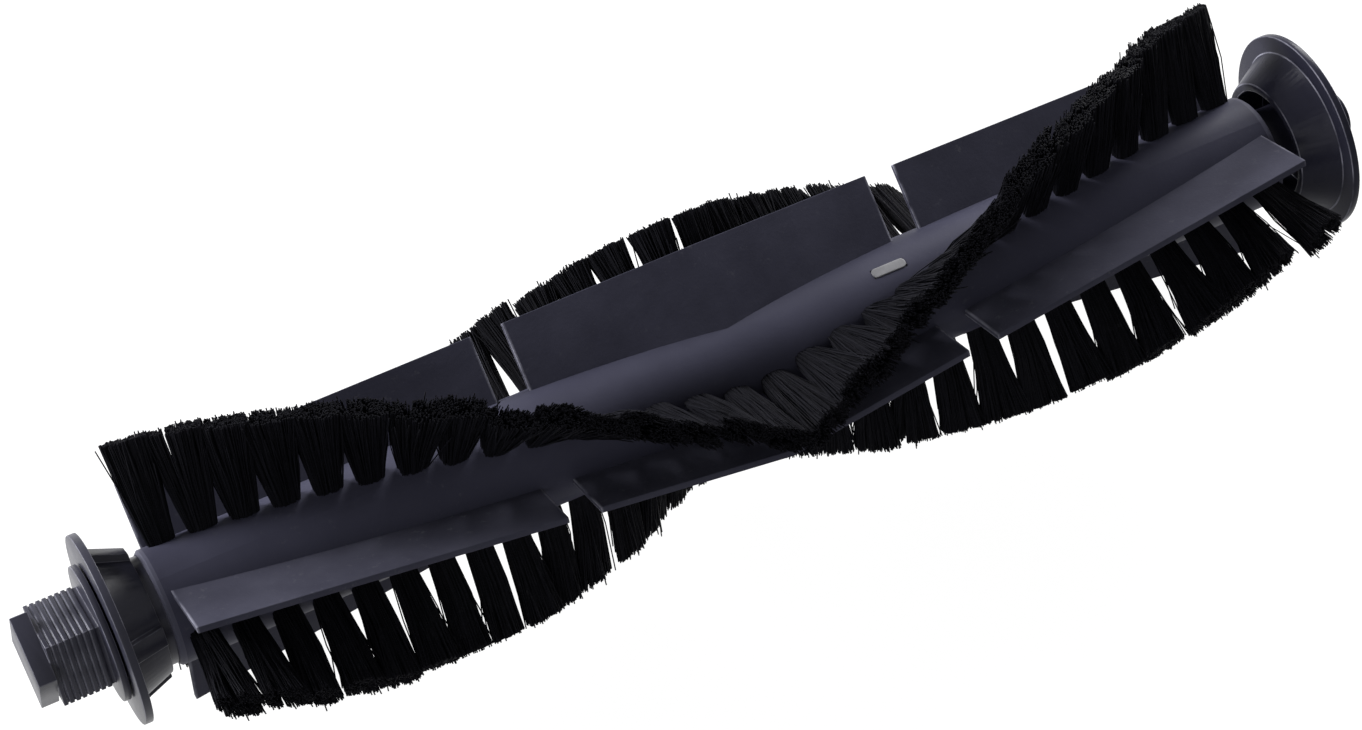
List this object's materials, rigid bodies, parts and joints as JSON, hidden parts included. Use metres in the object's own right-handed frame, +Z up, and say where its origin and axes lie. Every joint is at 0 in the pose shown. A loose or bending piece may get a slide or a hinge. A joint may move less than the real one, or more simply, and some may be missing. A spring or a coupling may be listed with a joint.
{
  "type": "robot vacuum roller brush",
  "caption": "Roller brush for a robot vacuum: slim core with V-shaped rows of bristle tufts, flat rubber blades between them, a ribbed square drive plug and a free-turning idler end.",
  "frame": {"origin": "on the spin axis, at the outer face of the drive flange", "axes": "+X along the spin axis towards the idler end, +Z up as the brush lies on its tufts"},
  "size_m": [0.1957, 0.0448, 0.0448],
  "materials": {
    "core": "satin moulded",
    "pad": "satin",
    "drive_end": "satin moulded",
    "idler_end": "semi-gloss moulded",
    "bush": "turned",
    "steel": "drawn",
    "blade": "matte",
    "bristle": "nylon filament"
  },
  "bodies": {
    "roller": {"roller_core": "core", "index_pad": "pad", "drive_end_cap": "drive_end", "axle_pin": "steel", "blade_a_left": "blade", "blade_a_middle": "blade", "blade_a_right": "blade", "blade_b_left": "blade", "blade_b_middle": "blade", "blade_b_right": "blade", "blade_c_left": "blade", "blade_c_middle": "blade", "blade_c_right": "blade", "bristle_row_a": "bristle", "bristle_row_b": "bristle", "bristle_row_c": "bristle", "tuft_anchors_a": "steel", "tuft_anchors_b": "steel", "tuft_anchors_c": "steel"},
    "idler_cap": {"idler_end_cap": "idler_end", "bearing_bush": "bush"}
  },
  "joints": [
    {"name": "idler_spin", "type": "hinge", "parent": "roller", "child": "idler_cap", "pos_m": [0.179, 0, 0], "axis": [1, 0, 0], "continuous": true}
  ]
}
